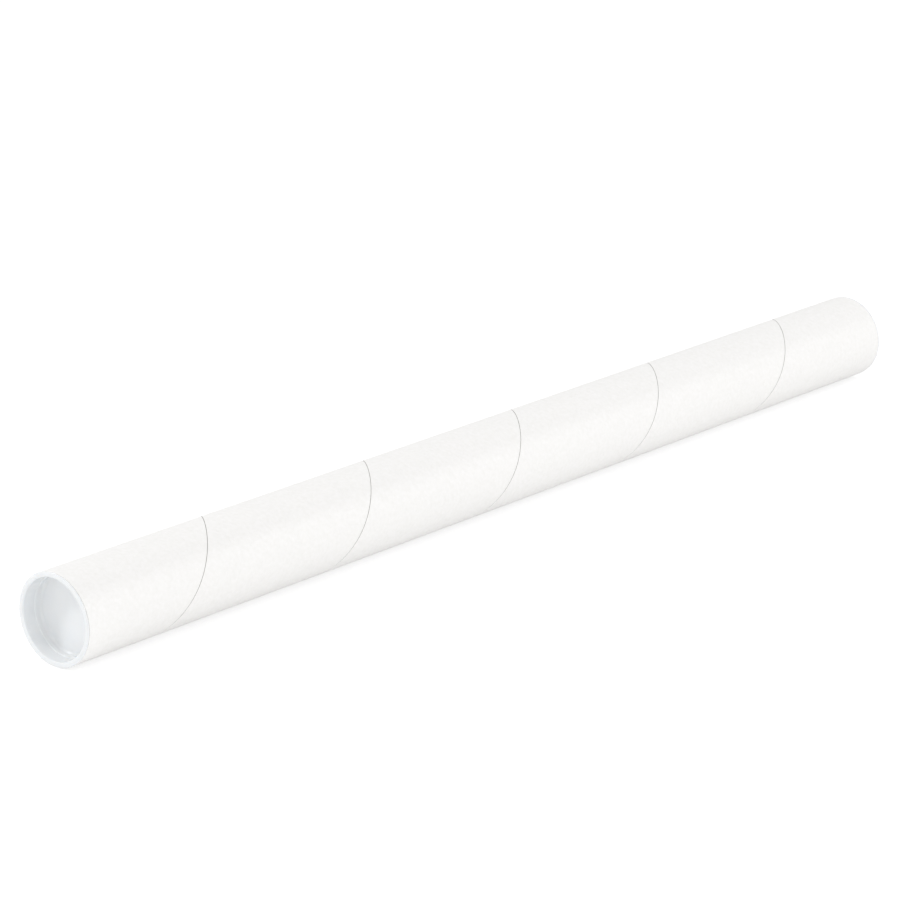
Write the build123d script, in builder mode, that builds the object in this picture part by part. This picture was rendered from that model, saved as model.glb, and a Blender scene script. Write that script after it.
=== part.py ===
from build123d import *

import os

# A cardboard mailing tube: a spiral-wound paperboard tube, lying on its side, closed at both ends by
# a moulded plastic cap pushed into the bore. The tube's axis runs along X with the near end at -X.
# The origin is on the surface that the tube lies on, below the middle of its length. Millimetres.

# The paperboard tube.
tube_length = 914.4
bore_diameter = 63.5
tube_wall = 1.8
cut_edge_bevel = 0.25  # the saw leaves the outer corner of each cut end slightly broken

# The outer ply is one strip wound left-handed. Its two edges meet in a butt seam, a fine open gap
# as deep as that ply, which climbs the tube once every seam_pitch.
seam_pitch = 168.0
seam_gap = 0.5
seam_depth = 0.3
seam_on_top = 143.2  # from the near end to the first place where the seam crosses the top
seam_runout = 5.0  # how far the cut runs on past the far end

# The plastic caps. Both are the same moulding: a flange that covers the tube's cut end, a plug in
# the bore, and a floor that closes the plug at the bottom of a finger-deep recess.
flange_thickness = 1.4
flange_inset = 0.05
flange_edge_round = 0.4
plug_clearance = 0.05  # radial, all round the plug
plug_wall = 2.1
plug_lead_length = 2.5
plug_lead_taper = 0.6
recess_depth = 15.6
floor_thickness = 1.4
lip_round = 0.9
wall_step_depth = 10.0  # the recess narrows here, where the wall thickens towards the floor
wall_step = 0.6
wall_step_ramp = 0.6
wall_draft = 0.25  # how much the wall leans in between the lip and the step
floor_corner_round = 1.2

# Worked out from those.
tube_diameter = bore_diameter + 2 * tube_wall
tube_radius = tube_diameter / 2
bore_radius = bore_diameter / 2
axis_height = tube_radius
tube_axis = Axis((0, 0, axis_height), (1, 0, 0))

flange_radius = tube_radius - flange_inset
plug_radius = bore_radius - plug_clearance
mouth_radius = plug_radius - plug_wall
waist_radius = mouth_radius - wall_draft
pan_radius = waist_radius - wall_step
# The cap's section is measured from the tube's cut end, with inwards positive.
floor_face = recess_depth - flange_thickness
plug_end = floor_face + floor_thickness
step_start = wall_step_depth - flange_thickness


def cap_section():
    """Corners of the cap's section with the round at each, from the lip round the outside and back up the recess."""
    return [
        ((-flange_thickness, mouth_radius), lip_round),
        ((-flange_thickness, flange_radius), flange_edge_round),
        ((0, flange_radius), flange_edge_round / 2),
        ((0, plug_radius), 0),
        ((plug_end - plug_lead_length, plug_radius), 0),
        ((plug_end, plug_radius - plug_lead_taper), 0),
        ((plug_end, 0), 0),
        ((floor_face, 0), 0),
        ((floor_face, pan_radius), floor_corner_round),
        ((step_start + wall_step_ramp, pan_radius), wall_step_ramp / 3),
        ((step_start, waist_radius), wall_step_ramp / 3),
    ]


os.makedirs("parts", exist_ok=True)

# The tube: a plain ring run along X, its cut edges slightly bevelled, and the seam sunk into the
# outside. The seam starts on top, a whole turn before it first crosses there, and runs out of both ends.
near_cut = Plane(origin=(-tube_length / 2, 0, axis_height), z_dir=(1, 0, 0))
seam_start = (-tube_length / 2 + seam_on_top - seam_pitch, 0, axis_height)
seam_run = seam_pitch - seam_on_top + tube_length + seam_runout

with BuildPart() as tube:
    with BuildSketch(near_cut):
        Circle(tube_radius)
        Circle(bore_radius, mode=Mode.SUBTRACT)
    extrude(amount=tube_length)
    outer_rims = tube.edges().filter_by(GeomType.CIRCLE).group_by(SortBy.RADIUS)[-1]
    chamfer(outer_rims, length=cut_edge_bevel)
    with BuildLine() as seam_path:
        Helix(seam_pitch, seam_run, tube_radius, seam_start, direction=(1, 0, 0), lefthand=True)
    seam = seam_path.line
    with BuildSketch(Plane(origin=seam @ 0, x_dir=(0, 0, 1), z_dir=seam % 0)):
        Rectangle(2 * seam_depth, seam_gap)
    sweep(path=seam, is_frenet=True, mode=Mode.SUBTRACT)
tube.part.label = "tube"
export_step(tube.part, "parts/tube.step")

# The two caps: one section turned about the tube's axis, facing out of each end.
for cap_name, side in (("near_cap", -1), ("far_cap", 1)):
    cut_end = Plane(
        origin=(side * tube_length / 2, 0, axis_height),
        x_dir=(-side, 0, 0),
        z_dir=(0, side, 0),
    )
    corners, rounds = zip(*cap_section())
    with BuildPart() as cap:
        with BuildSketch(cut_end):
            with BuildLine():
                FilletPolyline(*corners, radius=rounds, close=True)
            make_face()
        revolve(axis=tube_axis)
    cap.part.label = cap_name
    export_step(cap.part, f"parts/{cap_name}.step")

print(f"tube {tube_diameter:.1f} mm across and {tube_length:.1f} mm long")
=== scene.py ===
# %% [markdown]
# # A cardboard mailing tube
#
# This lesson dresses the measured model of a posting tube: a white spiral-wound paperboard tube that
# lies on its side, with a moulded plastic cap pushed into each end. The model gives every place and
# size in metres. Here the paperboard is wound the way the mill winds it, the caps get their
# polyethylene, and the whole is lit and looked at.

import math

import bmesh
import bpy
from mathutils import Matrix, Vector


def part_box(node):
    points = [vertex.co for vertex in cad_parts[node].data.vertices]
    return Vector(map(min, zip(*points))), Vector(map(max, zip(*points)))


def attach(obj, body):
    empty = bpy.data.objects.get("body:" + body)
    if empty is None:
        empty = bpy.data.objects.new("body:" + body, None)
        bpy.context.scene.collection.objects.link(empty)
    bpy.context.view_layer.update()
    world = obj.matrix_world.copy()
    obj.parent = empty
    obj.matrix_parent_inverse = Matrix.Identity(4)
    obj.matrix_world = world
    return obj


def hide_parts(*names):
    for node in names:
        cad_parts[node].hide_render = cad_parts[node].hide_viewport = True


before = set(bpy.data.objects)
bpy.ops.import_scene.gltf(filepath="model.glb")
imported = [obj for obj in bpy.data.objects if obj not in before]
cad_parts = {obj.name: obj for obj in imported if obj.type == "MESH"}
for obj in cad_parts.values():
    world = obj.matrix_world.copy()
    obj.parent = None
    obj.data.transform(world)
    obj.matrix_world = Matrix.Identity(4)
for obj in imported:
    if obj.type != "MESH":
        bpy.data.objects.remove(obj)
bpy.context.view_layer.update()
mm = 0.001

print("nodes:", sorted(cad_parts))

# %% [markdown]
# ## What is measured first
#
# Everything hangs on a few places that the model's own boxes give: the tube's two cut ends, its radius
# and the height of its axis above the floor. The thickness of the wall and the widths of the caps'
# steps can't be read from a box, so they are written where they are first needed, in millimetres.

# %% Measure the tube
tube_low, tube_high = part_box("tube")
near_cut = tube_low.x
far_cut = tube_high.x
tube_radius = (tube_high.z - tube_low.z) / 2
axis_height = tube_low.z + tube_radius
axis_point = Vector((0, 0, axis_height))

print("cut ends at", round(near_cut / mm, 1), "and", round(far_cut / mm, 1), "mm")
print("radius", round(tube_radius / mm, 2), "mm, axis", round(axis_height / mm, 2), "mm up")

# %% [markdown]
# ## The camera
#
# A tube nearly a metre long looks slim and calm through a long lens from a few metres off, because its
# near end is then hardly larger than its far end. The camera stands beyond the near end, to one side
# and above. Its distance is counted in tube radii from the middle of the near cap's face.

# %% Place the camera
lens_mm = 151.6
sensor_mm = 36
heading = math.radians(49.21)
dip = math.radians(17.60)
radii_away = Vector((-48.55, -52.33, 26.06))

camera_data = bpy.data.cameras.new("camera")
camera_data.sensor_width = sensor_mm
camera_data.lens = lens_mm
camera = bpy.data.objects.new("camera", camera_data)
near_face = Vector((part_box("near_cap")[0].x, 0, axis_height))
camera.location = near_face + radii_away * tube_radius
camera.rotation_euler = (math.pi / 2 - dip, 0, -heading)

scene = bpy.context.scene
scene.collection.objects.link(camera)
scene.camera = camera
scene.view_settings.view_transform = "Standard"

print("camera at", [round(part, 3) for part in camera.location], "with a", lens_mm, "mm lens")

# %% [markdown]
# ## Colour and nodes
#
# A colour is easiest to pick as the hex value that a screen shows, but light adds up in linear values,
# so one function turns the one into the other. A second function adds a node to a material: its
# settings are the node's properties and unlinked inputs, and its links join inputs to outputs.


# %% Two helpers for materials
def linear(hex_colour):
    """The linear red, green, blue and alpha of a screen colour such as "#F4F2EE"."""
    screen = [int(hex_colour[start : start + 2], 16) / 255 for start in (1, 3, 5)]
    light = [s / 12.92 if s <= 0.04045 else ((s + 0.055) / 1.055) ** 2.4 for s in screen]
    return (*light, 1.0)


def add_node(tree, kind, settings=None, links=None):
    """Adds one node with its settings and its links, and returns it."""
    node = tree.nodes.new(kind)
    for name, value in (settings or {}).items():
        if isinstance(name, int) or name in node.inputs:
            node.inputs[name].default_value = value
        else:
            setattr(node, name, value)
    for name, output in (links or {}).items():
        tree.links.new(node.inputs[name], output)
    return node


def empty_tree(material):
    """Clears a material or world down to its bare node tree."""
    material.use_nodes = True
    material.node_tree.nodes.clear()
    return material.node_tree


white = linear("#FFFFFF")
print("paper white in linear light:", [round(part, 3) for part in linear("#F6F5F3")])

# %% [markdown]
# ## The floor and the white room
#
# The tube lies on a plain white floor in a white room, as in a studio's light tent. The floor is
# an ordinary matt white to the light that falls on it, so it throws a soft glow up under the tube. The
# eye, and anything glossy, sees it with a little light of its own added, which brings it just to white
# in the open and leaves a faint shadow where the tube lies.

# %% Lay the floor
floor_side = 30.0

floor_mesh = bmesh.new()
bmesh.ops.create_grid(floor_mesh, x_segments=1, y_segments=1, size=floor_side / 2)
floor_data = bpy.data.meshes.new("floor")
floor_mesh.to_mesh(floor_data)
floor_mesh.free()
floor = bpy.data.objects.new("floor", floor_data)
scene.collection.objects.link(floor)

print("floor of", floor_side, "by", floor_side, "metres at height 0")

# %% [markdown]
# Floor and room both need to tell the light that falls on things from the light that is seen, so one
# function asks this for either of them. It gives one for a ray from the camera, off a gloss or through
# something clear, and nought for any other.

# %% Tell seen rays from the rest


def seen_ray(tree):
    """The output that is one for a ray that carries what is seen, and nought for any other."""
    path = add_node(tree, "ShaderNodeLightPath")
    seen = path.outputs["Is Camera Ray"]
    for kind_of_ray in ("Is Glossy Ray", "Is Transmission Ray"):
        either_ray = add_node(
            tree,
            "ShaderNodeMath",
            {"operation": "MAXIMUM"},
            {0: seen, 1: path.outputs[kind_of_ray]},
        )
        seen = either_ray.outputs[0]
    return seen


# %% [markdown]
# The floor's paint is white for the light. For the eye it is a mid grey with light of its own, so the
# shadow under the tube darkens only the smaller part of what is seen.

# %% Paint the floor
floor_glow = 0.72

floor_paint = bpy.data.materials.new("white_studio_floor")
tree = empty_tree(floor_paint)
matt_white = add_node(tree, "ShaderNodeBsdfDiffuse", {"Color": linear("#F8F8F8")})
faint_shadow = add_node(tree, "ShaderNodeBsdfDiffuse", {"Color": linear("#A8A8A8")})
own_light = add_node(tree, "ShaderNodeEmission", {"Color": white, "Strength": floor_glow})
seen_floor = add_node(
    tree, "ShaderNodeAddShader", links={0: faint_shadow.outputs[0], 1: own_light.outputs[0]}
)
paint = add_node(
    tree,
    "ShaderNodeMixShader",
    links={0: seen_ray(tree), 1: matt_white.outputs[0], 2: seen_floor.outputs[0]},
)
add_node(tree, "ShaderNodeOutputMaterial", links={"Surface": paint.outputs[0]})
floor_data.materials.append(floor_paint)

print("floor paint glows at", floor_glow)

# %% [markdown]
# The room is the world: plain white where it is seen, and a soft light from all round at a level that
# lets a colour come out about as it is written.

# %% Light from all round
room_light = 0.80
seen_white = 1.0

world = bpy.data.worlds.new("white_room")
scene.world = world
tree = empty_tree(world)
lighting = add_node(tree, "ShaderNodeBackground", {"Color": white, "Strength": room_light})
backdrop = add_node(tree, "ShaderNodeBackground", {"Color": white, "Strength": seen_white})
room = add_node(
    tree,
    "ShaderNodeMixShader",
    links={0: seen_ray(tree), 1: lighting.outputs[0], 2: backdrop.outputs[0]},
)
add_node(tree, "ShaderNodeOutputWorld", links={"Surface": room.outputs[0]})

print("room light", room_light, "and backdrop", seen_white)

# %% [markdown]
# Five soft lamps add shape to that light. The flank lamp stands low in front of the tube's side. The
# sheen lamp stands beyond the far end, where the side mirrors it towards the camera as a broad pale
# band. The camera lamp shines from beside the camera into the near cap. The end lamp stands high on
# the other side and shines across that cap, so that the rim of its recess throws a shadow over its
# floor. The small mouth lamp only puts points of light on the rounded corners in there.

# %% Hang the lamps


def hang_lamp(name, place, target, side, watts):
    """A square soft lamp at a place, turned to shine at a target."""
    data = bpy.data.lights.new(name, "AREA")
    data.size = side
    data.energy = watts
    lamp = bpy.data.objects.new(name, data)
    lamp.location = place
    lamp.rotation_euler = (Vector(target) - Vector(place)).to_track_quat("-Z", "Y").to_euler()
    scene.collection.objects.link(lamp)
    print(name, "stands", round((Vector(target) - Vector(place)).length, 2), "m off")


hang_lamp("flank_lamp", (-0.3, -3.0, 0.8), axis_point, side=1.4, watts=7)
hang_lamp("sheen_lamp", (1.9, -2.1, 1.4), axis_point, side=0.9, watts=12)
hang_lamp("camera_lamp", (-2.3, -2.2, 0.6), near_face, side=0.8, watts=6)
hang_lamp("end_lamp", (-1.66, 1.65, 1.64), near_face, side=0.35, watts=17)
hang_lamp("mouth_lamp", (-2.98, 0.52, 0.35), near_face, side=0.2, watts=1.2)

# %% [markdown]
# ## The wound tube
#
# A board tube is made by winding paper strips round a steel mandrel at an angle, glued one on another,
# and sawing off lengths. The outermost strip is white. Its two edges meet in a butt seam, a fine open
# gap that runs round the tube like a slow screw thread. Drawing that gap on a plain cylinder would
# leave it flat, so here the white strip is wound as it is at the mill: the strip's outline is spun
# round the axis and moves along by one strip width each turn.

# %% Sizes of the paper
wall = 1.8 * mm
bore_radius = tube_radius - wall
strip_pitch = 168.0 * mm
seam_gap = 0.5 * mm
ply_thickness = 0.3 * mm
crushed_edge = 0.08 * mm
holding_line = 1.0 * mm
seam_on_top = 143.2 * mm
corner_break = 0.25 * mm
steps_a_turn = 192
turns_to_spare = 2
tiny = 0.001 * mm  # points that are hardly farther apart than this count as one

print("wall", wall / mm, "mm, strip", (strip_pitch - seam_gap) / mm, "mm wide")

# %% [markdown]
# The outline is the strip cut across: up one edge, along its face, down the other edge, and across the
# gap to where the next turn begins. The slitter crushes the corners of the strip a little, which the
# bevel on those two points gives. A holding line a millimetre in from each corner keeps the soft
# shading of the corner from spreading across the whole strip. The winding starts before the near cut
# and ends past the far one.

# %% Draw the strip's outline
windings = bmesh.new()
first_edge = near_cut + seam_on_top - turns_to_spare * strip_pitch + seam_gap / 2
last_edge = first_edge + strip_pitch - seam_gap
outline = [
    (first_edge, tube_radius - ply_thickness),
    (first_edge, tube_radius),
    (first_edge + holding_line, tube_radius),
    (last_edge - holding_line, tube_radius),
    (last_edge, tube_radius),
    (last_edge, tube_radius - ply_thickness),
    (last_edge + seam_gap, tube_radius - ply_thickness),
]
points = [windings.verts.new((x, 0, axis_height + radius)) for x, radius in outline]
for pair in zip(points, points[1:]):
    windings.edges.new(pair)
first_corner = points[1]
last_corner = points[4]
bmesh.ops.bevel(
    windings,
    geom=[first_corner, last_corner],
    offset=crushed_edge,
    affect="VERTICES",
    segments=2,
    profile=0.5,
    material=-1,
)

print("outline of", len(windings.verts), "points")

# %% [markdown]
# The spin carries the outline round the axis in small steps and shifts it along at each one, so every
# turn starts where the last one ended. Their shared points are then merged into one surface.

# %% Wind the white strip
turns = math.ceil((far_cut - last_edge) / strip_pitch) + 1
bmesh.ops.spin(
    windings,
    geom=list(windings.verts) + list(windings.edges),
    cent=axis_point,
    axis=(1, 0, 0),
    dvec=(strip_pitch / steps_a_turn, 0, 0),
    angle=-turns * math.tau,
    steps=turns * steps_a_turn,
    use_merge=False,
)
bmesh.ops.remove_doubles(windings, verts=windings.verts, dist=5 * tiny)

print(turns, "turns,", len(windings.faces), "faces")

# %% [markdown]
# Material numbers are given while the faces are easy to tell apart: the strip's face lies at the full
# radius, and everything in the gap lies below it.

# %% Tell the face of the strip from the gap
WHITE_FACE, SEAM, CUT_BOARD, BORE = range(4)


def off_axis(place):
    """A point's distance from the tube's axis."""
    return math.hypot(place.y, place.z - axis_height)


for face in windings.faces:
    depth = tube_radius - off_axis(face.calc_center_median())
    face.material_index = WHITE_FACE if depth < crushed_edge else SEAM

print("faces in the seam:", sum(face.material_index == SEAM for face in windings.faces))

# %% [markdown]
# Much of the rest is drawing an open rim on from where it ends. One function does that: it pulls the rim
# along the axis, and gives each of its points a new distance from it.

# %% Draw a rim on


def draw_rim(mesh, rim, along, radius_of):
    """Draws an open rim on, along the axis and to the radius that each point gets."""
    drawn = bmesh.ops.extrude_edge_only(mesh, edges=rim)["geom"]
    faces = [part for part in drawn if isinstance(part, bmesh.types.BMFace)]
    lines = [part for part in drawn if isinstance(part, bmesh.types.BMEdge)]
    new_rim = [line for line in lines if line.is_boundary]
    new_points = {point for line in new_rim for point in line.verts}
    for point in new_points:
        narrow = radius_of(off_axis(point.co)) / off_axis(point.co)
        point.co.x += along
        point.co.y *= narrow
        point.co.z = axis_height + (point.co.z - axis_height) * narrow
    return new_rim, faces


def open_rim(mesh, x):
    """The open edges at one place along the tube."""
    return [
        line
        for line in mesh.edges
        if line.is_boundary and all(abs(point.co.x - x) < 10 * tiny for point in line.verts)
    ]


# %% [markdown]
# The bore is where the mandrel was, a plain ring drawn straight from one cut to the other.

# %% Draw the bore
upright = Matrix.Rotation(math.pi / 2, 4, "Y")
ring = bmesh.ops.create_circle(
    windings,
    radius=bore_radius,
    segments=steps_a_turn,
    matrix=Matrix.Translation((near_cut, 0, axis_height)) @ upright,
)
near_bore_rim = list({line for point in ring["verts"] for line in point.link_edges})
far_bore_rim, bore = draw_rim(windings, near_bore_rim, far_cut - near_cut, lambda radius: radius)
for face in bore:
    face.material_index = BORE

print("bore", round(2 * bore_radius / mm, 1), "mm across, of", len(bore), "faces")

# %% [markdown]
# The saw cuts the winding square across at both ends and leaves the outer corner slightly broken. Each
# cut stops short by that corner's width, and the open rim is then drawn out by the same width while it
# narrows. The flat ring of board between that rim and the bore's is filled with triangles, which needs
# no matching of their points.

# %% Saw both ends and close them to the bore
for cut, outward, bore_rim in ((near_cut, -1, near_bore_rim), (far_cut, 1, far_bore_rim)):
    saw_line = cut - outward * corner_break
    winding_faces = [face for face in windings.faces if face.material_index != BORE]
    winding_lines = {line for face in winding_faces for line in face.edges}
    winding_points = {point for face in winding_faces for point in face.verts}
    bmesh.ops.bisect_plane(
        windings,
        geom=list(winding_points) + list(winding_lines) + winding_faces,
        dist=tiny,
        plane_co=(saw_line, 0, 0),
        plane_no=(outward, 0, 0),
        clear_outer=True,
    )
    rim, _ = draw_rim(
        windings,
        open_rim(windings, saw_line),
        outward * corner_break,
        lambda radius: radius - corner_break,
    )
    filled = bmesh.ops.triangle_fill(
        windings, use_beauty=True, edges=rim + bore_rim, normal=(outward, 0, 0)
    )["geom"]
    for part in filled:
        if isinstance(part, bmesh.types.BMFace):
            part.material_index = CUT_BOARD
bmesh.ops.recalc_face_normals(windings, faces=windings.faces)

print("open edges left:", sum(not line.is_manifold for line in windings.edges))

# %% [markdown]
# Faces that meet at less than the sharp angle are shaded as one smooth surface, so the tube looks round
# and its cut edges stay crisp. The finished piece stands for the model's own tube and moves with it.

# %% Keep the tube as a finished piece
sharp_angle = math.radians(30)

tube_data = bpy.data.meshes.new("wound_tube")
windings.to_mesh(tube_data)
windings.free()
tube_data.shade_smooth()
tube_data.set_sharp_from_angle(angle=sharp_angle)
tube = bpy.data.objects.new("wound_tube", tube_data)
scene.collection.objects.link(tube)
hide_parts("tube")
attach(tube, "tube")

print("tube faces:", len(tube_data.polygons))

# %% [markdown]
# ## The white board
#
# The outer ply is bleached kraft board, calendered smooth between rolls. Pressed fibre is never quite
# even: it shows as pale clouds a few millimetres across, a fine grain of single fibres, and a surface
# that is soft rather than glossy, a little smoother where the rolls pressed harder. The fibres here are
# drawn about ten times coarser than real ones, which are a few hundredths of a millimetre wide, because
# real ones would not show.

# %% Bleached calendered board
paper_ior = 1.46
cloud_size = 3.0 * mm
fibre_size = 0.6 * mm
fibre_height = 0.03 * mm
thin_cloud = 0.3
thick_cloud = 0.7

white_board = bpy.data.materials.new("bleached_calendered_board")
tree = empty_tree(white_board)
place = add_node(tree, "ShaderNodeTexCoord")
clouds = add_node(
    tree,
    "ShaderNodeTexNoise",
    {"Scale": 1 / cloud_size, "Detail": 4.0, "Roughness": 0.62},
    {"Vector": place.outputs["Object"]},
)
cloud_share = add_node(
    tree,
    "ShaderNodeMapRange",
    {"From Min": thin_cloud, "From Max": thick_cloud},
    {"Value": clouds.outputs[0]},
)
board_colour = add_node(
    tree,
    "ShaderNodeMix",
    {"data_type": "RGBA", 6: linear("#F2F1EF"), 7: linear("#F8F7F6")},
    {0: cloud_share.outputs[0]},
)
board_sheen = add_node(
    tree,
    "ShaderNodeMapRange",
    {"From Min": thin_cloud, "From Max": thick_cloud, "To Min": 0.56, "To Max": 0.46},
    {"Value": clouds.outputs[0]},
)

print("clouds of", cloud_size / mm, "mm")

# %% [markdown]
# The fibres only lift the surface, and the shader takes colour, sheen and bump together.

# %% Fibres and finish of the white board
fibres = add_node(
    tree,
    "ShaderNodeTexNoise",
    {"Scale": 1 / fibre_size, "Detail": 2.0},
    {"Vector": place.outputs["Object"]},
)
fibre_bump = add_node(
    tree,
    "ShaderNodeBump",
    {"Strength": 0.25, "Distance": fibre_height},
    {"Height": fibres.outputs[0]},
)
shader = add_node(
    tree,
    "ShaderNodeBsdfPrincipled",
    {"IOR": paper_ior},
    {
        "Base Color": board_colour.outputs[2],
        "Roughness": board_sheen.outputs[0],
        "Normal": fibre_bump.outputs[0],
    },
)
add_node(tree, "ShaderNodeOutputMaterial", links={"Surface": shader.outputs[0]})

print("fibres of", fibre_size / mm, "mm")

# %% [markdown]
# In the seam the gap bares the grey board under the white strip, which is rougher and far darker than
# the white face. The strip's own cut edges are white board, but they get the same grey as painted shade,
# because light hardly gets into a gap this narrow.

# %% Grey board and painted shade in the seam
fleck_size = 1.5 * mm
fleck_height = 0.03 * mm

seam_board_with_painted_shade = bpy.data.materials.new("seam_floor_board_and_painted_shade")
tree = empty_tree(seam_board_with_painted_shade)
place = add_node(tree, "ShaderNodeTexCoord")
flecks = add_node(
    tree,
    "ShaderNodeTexNoise",
    {"Scale": 1 / fleck_size, "Detail": 2.0},
    {"Vector": place.outputs["Object"]},
)
# This grey is the real under-ply on the gap's floor, and painted shade on the strip's white edges.
seam_colour_with_painted_shade = add_node(
    tree,
    "ShaderNodeMix",
    {"data_type": "RGBA", 6: linear("#8E8B87"), 7: linear("#B4B1AC")},
    {0: flecks.outputs[0]},
)
fleck_sheen = add_node(
    tree,
    "ShaderNodeMapRange",
    {"To Min": 0.96, "To Max": 0.84},
    {"Value": flecks.outputs[0]},
)
fleck_bump = add_node(
    tree,
    "ShaderNodeBump",
    {"Strength": 0.4, "Distance": fleck_height},
    {"Height": flecks.outputs[0]},
)
shader = add_node(
    tree,
    "ShaderNodeBsdfPrincipled",
    {"IOR": paper_ior},
    {
        "Base Color": seam_colour_with_painted_shade.outputs[2],
        "Roughness": fleck_sheen.outputs[0],
        "Normal": fleck_bump.outputs[0],
    },
)
add_node(tree, "ShaderNodeOutputMaterial", links={"Surface": shader.outputs[0]})

print("flecks of", fleck_size / mm, "mm")

# %% [markdown]
# The cut face shows the plies as rings: the thin white one outside and the grey core plies under it,
# each about half a millimetre thick, with a darker glue line between. The rings follow the distance
# from the axis, so the pattern's origin is first moved onto the axis.

# %% Count the plies
core_ply = 0.5 * mm
glue_share = 0.25

sawn_board = bpy.data.materials.new("sawn_board_edge")
tree = empty_tree(sawn_board)
place = add_node(tree, "ShaderNodeTexCoord")
from_axis = add_node(
    tree,
    "ShaderNodeMapping",
    {"Location": (0, 0, -axis_height)},
    {"Vector": place.outputs["Object"]},
)
across = add_node(
    tree,
    "ShaderNodeVectorMath",
    {"operation": "MULTIPLY", 1: (0, 1, 1)},
    {0: from_axis.outputs[0]},
)
radius = add_node(
    tree, "ShaderNodeVectorMath", {"operation": "LENGTH"}, {0: across.outputs[0]}
)
depth = add_node(
    tree,
    "ShaderNodeMath",
    {"operation": "SUBTRACT", 0: tube_radius - ply_thickness},
    {1: radius.outputs["Value"]},
)
ply_count = add_node(
    tree,
    "ShaderNodeMath",
    {"operation": "DIVIDE", 1: core_ply},
    {0: depth.outputs[0]},
)
ply_place = add_node(
    tree, "ShaderNodeMath", {"operation": "FRACT"}, {0: ply_count.outputs[0]}
)

print("core plies of", core_ply / mm, "mm")

# %% [markdown]
# The first quarter of each ply's thickness is its glue line. Outside the core, where the depth counted
# from the white ply's back is negative, the ring is white.

# %% Colour the rings
glue_line = add_node(
    tree,
    "ShaderNodeMapRange",
    {"From Min": 0.0, "From Max": glue_share},
    {"Value": ply_place.outputs[0]},
)
core_colour = add_node(
    tree,
    "ShaderNodeMix",
    {"data_type": "RGBA", 6: linear("#8F8577"), 7: linear("#B8AC9B")},
    {0: glue_line.outputs[0]},
)
is_core = add_node(
    tree, "ShaderNodeMath", {"operation": "GREATER_THAN", 1: 0.0}, {0: depth.outputs[0]}
)
ring_colour = add_node(
    tree,
    "ShaderNodeMix",
    {"data_type": "RGBA", 6: linear("#E9E7E3")},
    {0: is_core.outputs[0], 7: core_colour.outputs[2]},
)

print("glue lines of", core_ply * glue_share / mm, "mm")

# %% [markdown]
# A saw tears board rather than cutting it, so the cut face is the roughest surface of all.

# %% Tear the cut face
torn_fibre_size = 0.4 * mm
torn_fibre_height = 0.1 * mm

torn_fibres = add_node(
    tree,
    "ShaderNodeTexNoise",
    {"Scale": 1 / torn_fibre_size, "Detail": 3.0},
    {"Vector": place.outputs["Object"]},
)
torn_bump = add_node(
    tree,
    "ShaderNodeBump",
    {"Strength": 0.6, "Distance": torn_fibre_height},
    {"Height": torn_fibres.outputs[0]},
)
torn_sheen = add_node(
    tree,
    "ShaderNodeMapRange",
    {"To Min": 0.97, "To Max": 0.87},
    {"Value": torn_fibres.outputs[0]},
)
shader = add_node(
    tree,
    "ShaderNodeBsdfPrincipled",
    {"IOR": paper_ior},
    {
        "Base Color": ring_colour.outputs[2],
        "Roughness": torn_sheen.outputs[0],
        "Normal": torn_bump.outputs[0],
    },
)
add_node(tree, "ShaderNodeOutputMaterial", links={"Surface": shader.outputs[0]})

print("torn fibres of", torn_fibre_size / mm, "mm")

# %% [markdown]
# The innermost ply is plain recycled board, grey-brown with visible fibre. It is wound like the white
# one and has its own seam, which shows as a thin line that screws through the bore.

# %% Recycled board in the bore
mottle_size = 1.2 * mm
mottle_height = 0.05 * mm

bore_board = bpy.data.materials.new("recycled_board_bore")
tree = empty_tree(bore_board)
place = add_node(tree, "ShaderNodeTexCoord")
mottle = add_node(
    tree,
    "ShaderNodeTexNoise",
    {"Scale": 1 / mottle_size, "Detail": 4.0, "Roughness": 0.65},
    {"Vector": place.outputs["Object"]},
)
mottle_share = add_node(
    tree,
    "ShaderNodeMapRange",
    {"From Min": thin_cloud, "From Max": thick_cloud},
    {"Value": mottle.outputs[0]},
)
bore_colour = add_node(
    tree,
    "ShaderNodeMix",
    {"data_type": "RGBA", 6: linear("#BBB1A1"), 7: linear("#D2C9BA")},
    {0: mottle_share.outputs[0]},
)

print("mottle of", mottle_size / mm, "mm")

# %% [markdown]
# The seam in the bore is found by counting. The angle round the axis gives a share of a turn and the
# place along it a number of strip widths. Their difference passes a whole number at each seam.

# %% Find the seam in the bore
from_axis = add_node(
    tree,
    "ShaderNodeMapping",
    {"Location": (0, 0, -axis_height)},
    {"Vector": place.outputs["Object"]},
)
apart = add_node(tree, "ShaderNodeSeparateXYZ", links={0: from_axis.outputs[0]})
angle = add_node(
    tree,
    "ShaderNodeMath",
    {"operation": "ARCTAN2"},
    {0: apart.outputs["Y"], 1: apart.outputs["Z"]},
)
turn = add_node(
    tree, "ShaderNodeMath", {"operation": "DIVIDE", 1: math.tau}, {0: angle.outputs[0]}
)
pitches = add_node(
    tree, "ShaderNodeMath", {"operation": "DIVIDE", 1: strip_pitch}, {0: apart.outputs["X"]}
)
along_strip = add_node(
    tree,
    "ShaderNodeMath",
    {"operation": "SUBTRACT"},
    {0: pitches.outputs[0], 1: turn.outputs[0]},
)
strip_place = add_node(
    tree, "ShaderNodeMath", {"operation": "FRACT"}, {0: along_strip.outputs[0]}
)
in_seam = add_node(
    tree,
    "ShaderNodeMath",
    {"operation": "LESS_THAN", 1: seam_gap / strip_pitch},
    {0: strip_place.outputs[0]},
)

print("seam in the bore every", round(strip_pitch / mm), "mm")

# %% [markdown]
# The seam line darkens the ply's colour, and the mottle serves twice more, for the bump and the sheen.

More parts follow.
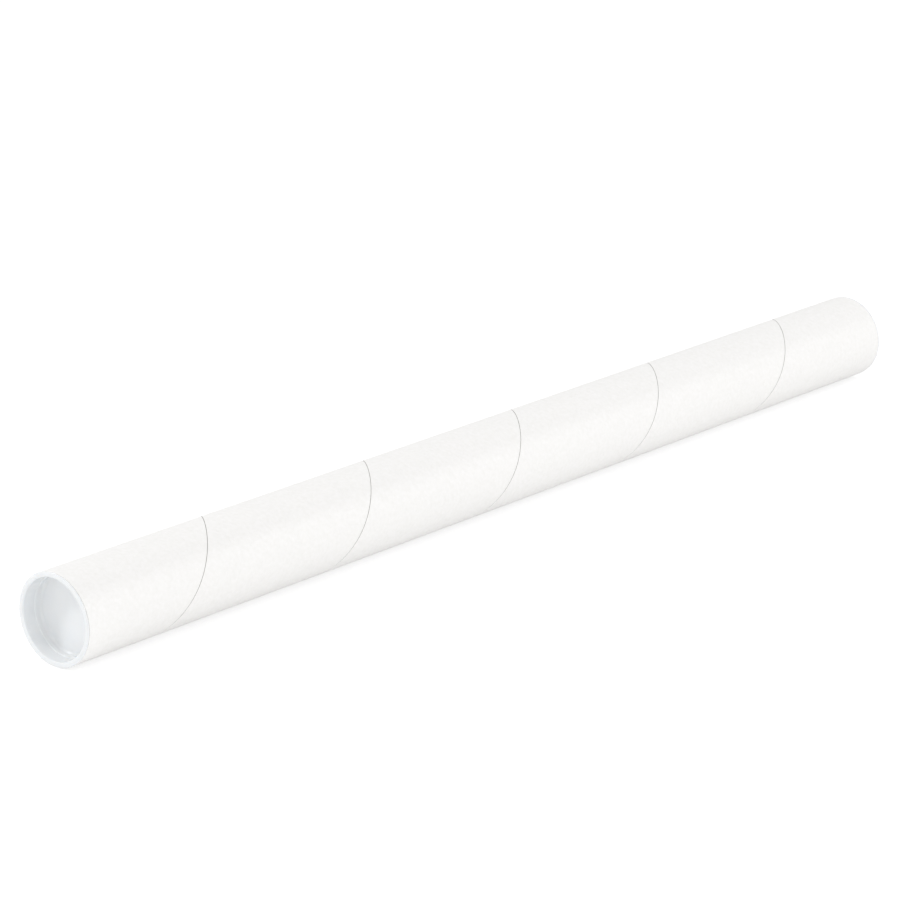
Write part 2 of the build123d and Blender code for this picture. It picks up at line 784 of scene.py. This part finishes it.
# %% Finish the bore
seamed_colour = add_node(
    tree,
    "ShaderNodeMix",
    {"data_type": "RGBA", 7: linear("#857C6E")},
    {0: in_seam.outputs[0], 6: bore_colour.outputs[2]},
)
bore_bump = add_node(
    tree,
    "ShaderNodeBump",
    {"Strength": 0.5, "Distance": mottle_height},
    {"Height": mottle.outputs[0]},
)
bore_sheen = add_node(
    tree,
    "ShaderNodeMapRange",
    {"To Min": 0.94, "To Max": 0.82},
    {"Value": mottle.outputs[0]},
)
shader = add_node(
    tree,
    "ShaderNodeBsdfPrincipled",
    {"IOR": paper_ior},
    {
        "Base Color": seamed_colour.outputs[2],
        "Roughness": bore_sheen.outputs[0],
        "Normal": bore_bump.outputs[0],
    },
)
add_node(tree, "ShaderNodeOutputMaterial", links={"Surface": shader.outputs[0]})

for board in (white_board, seam_board_with_painted_shade, sawn_board, bore_board):
    tube_data.materials.append(board)

print("tube materials:", [board.name for board in tube_data.materials])

# %% [markdown]
# ## The plastic caps
#
# Each cap is one moulding: a flange that covers the cut end, a plug that grips the bore, and a floor
# at the bottom of a recess that takes the fingers. All of it is round, so the cap is one outline spun
# once about the axis. The measured model has this shape too, but made of loose flat triangles. Spinning
# it again gives rounder rims, and softer corners for the light to catch.

# %% Sizes of the caps
flange = 1.4 * mm
flange_inset = 0.05 * mm
plug_clearance = 0.05 * mm
plug_wall = 2.1 * mm
wall_lean = 0.25 * mm
wall_step = 0.6 * mm
step_start = 8.6 * mm
recess_floor = 14.2 * mm
floor_thickness = 1.4 * mm
lead_length = 2.5 * mm
lead_taper = 0.6 * mm

flange_radius = tube_radius - flange_inset
plug_radius = bore_radius - plug_clearance
mouth_radius = plug_radius - plug_wall
waist_radius = mouth_radius - wall_lean
pan_radius = waist_radius - wall_step
plug_end = recess_floor + floor_thickness

print("recess", round((recess_floor + flange) / mm, 1), "mm deep")

# %% [markdown]
# The outline runs from the middle of the recess floor, up the wall, over the lip and the flange, and
# down the plug to the middle of its back. Each corner is written as its depth from the cut end, its
# radius and its own round. The flange's back corner is rounded as well, which leaves a fine dark line
# where the cap meets the board.

# %% Draw the cap's outline
recess_round = 2.2 * mm
step_round = 0.2 * mm
lip_round = 0.9 * mm
front_round = 0.45 * mm
back_round = 0.55 * mm
flat_floor_radius = pan_radius - 3.5 * mm

cap_outline = [
    (recess_floor, 0, 0),
    (recess_floor, flat_floor_radius, 0),
    (recess_floor, pan_radius, recess_round),
    (step_start + wall_step, pan_radius, step_round),
    (step_start, waist_radius, step_round),
    (-flange, mouth_radius, lip_round),
    (-flange, flange_radius, front_round),
    (0, flange_radius, back_round),
    (0, plug_radius, 0),
    (plug_end - lead_length, plug_radius, 0),
    (plug_end, plug_radius - lead_taper, 0),
    (plug_end, 0, 0),
]

print("outline of", len(cap_outline), "corners")

# %% [markdown]
# The same function makes both caps. It only needs to know which cut end the flange lies on, and which
# way along the axis the plug points. The points on the axis come out of the spin many times over, and
# are merged into one pole at each middle.

# %% Spin the two caps
steps_a_cap = 192
round_segments = 6


def spin_cap(name, cut, inward):
    """A cap whose flange lies on a cut end, with its plug pointing inward along the axis."""
    cap_mesh = bmesh.new()
    corners = [
        cap_mesh.verts.new((cut + inward * deep, 0, axis_height + radius))
        for deep, radius, _ in cap_outline
    ]
    for pair in zip(corners, corners[1:]):
        cap_mesh.edges.new(pair)
    for corner, (_, _, rounding) in zip(corners, cap_outline):
        if rounding:
            bmesh.ops.bevel(
                cap_mesh,
                geom=[corner],
                offset=rounding,
                affect="VERTICES",
                segments=round_segments,
                profile=0.5,
                material=-1,
            )
    bmesh.ops.spin(
        cap_mesh,
        geom=list(cap_mesh.verts) + list(cap_mesh.edges),
        cent=axis_point,
        axis=(1, 0, 0),
        angle=math.tau,
        steps=steps_a_cap,
        use_merge=True,
    )
    bmesh.ops.remove_doubles(cap_mesh, verts=cap_mesh.verts, dist=2 * tiny)
    bmesh.ops.recalc_face_normals(cap_mesh, faces=cap_mesh.faces)
    open_edges = sum(not line.is_manifold for line in cap_mesh.edges)
    data = bpy.data.meshes.new(name)
    cap_mesh.to_mesh(data)
    cap_mesh.free()
    data.shade_smooth()
    data.set_sharp_from_angle(angle=sharp_angle)
    cap = bpy.data.objects.new(name, data)
    scene.collection.objects.link(cap)
    print(name, "has", len(data.polygons), "faces and", open_edges, "open edges")
    return cap


caps = {
    "near_cap": spin_cap("near_cap_moulding", near_cut, 1),
    "far_cap": spin_cap("far_cap_moulding", far_cut, -1),
}

# %% [markdown]
# The caps are injection moulded in natural polyethylene, a milky white plastic with a cool cast. It is
# waxy: light soaks in a little before it comes out again, which softens the shadows in the recess. The
# polished mould leaves it glossier than the board, with a slow unevenness where the melt flowed.

# %% Moulded polyethylene
plastic_ior = 1.51
flow_size = 9.0 * mm
flow_height = 0.15 * mm
soak_depth = 1.0 * mm

cap_plastic = bpy.data.materials.new("moulded_polyethylene")
tree = empty_tree(cap_plastic)
place = add_node(tree, "ShaderNodeTexCoord")
flow = add_node(
    tree,
    "ShaderNodeTexNoise",
    {"Scale": 1 / flow_size, "Detail": 2.0},
    {"Vector": place.outputs["Object"]},
)
plastic_colour = add_node(
    tree,
    "ShaderNodeMix",
    {"data_type": "RGBA", 6: linear("#EAECEE"), 7: linear("#EEF0F1")},
    {0: flow.outputs[0]},
)
gloss = add_node(
    tree,
    "ShaderNodeMapRange",
    {"To Min": 0.14, "To Max": 0.24},
    {"Value": flow.outputs[0]},
)
flow_bump = add_node(
    tree,
    "ShaderNodeBump",
    {"Strength": 0.5, "Distance": flow_height},
    {"Height": flow.outputs[0]},
)

print("flow marks of", flow_size / mm, "mm")

# %% [markdown]
# The shader lets light soak in by about a millimetre, blue a little further than red. Both caps take
# the plastic, stand for the model's caps and move with them.

# %% Finish the caps
shader = add_node(
    tree,
    "ShaderNodeBsdfPrincipled",
    {
        "IOR": plastic_ior,
        "Subsurface Weight": 0.3,
        "Subsurface Radius": (0.9, 1.0, 1.1),
        "Subsurface Scale": soak_depth,
    },
    {
        "Base Color": plastic_colour.outputs[2],
        "Roughness": gloss.outputs[0],
        "Normal": flow_bump.outputs[0],
    },
)
add_node(tree, "ShaderNodeOutputMaterial", links={"Surface": shader.outputs[0]})

for body, cap in caps.items():
    cap.data.materials.append(cap_plastic)
    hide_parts(body)
    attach(cap, body)

print("caps finished:", [cap.name for cap in caps.values()])
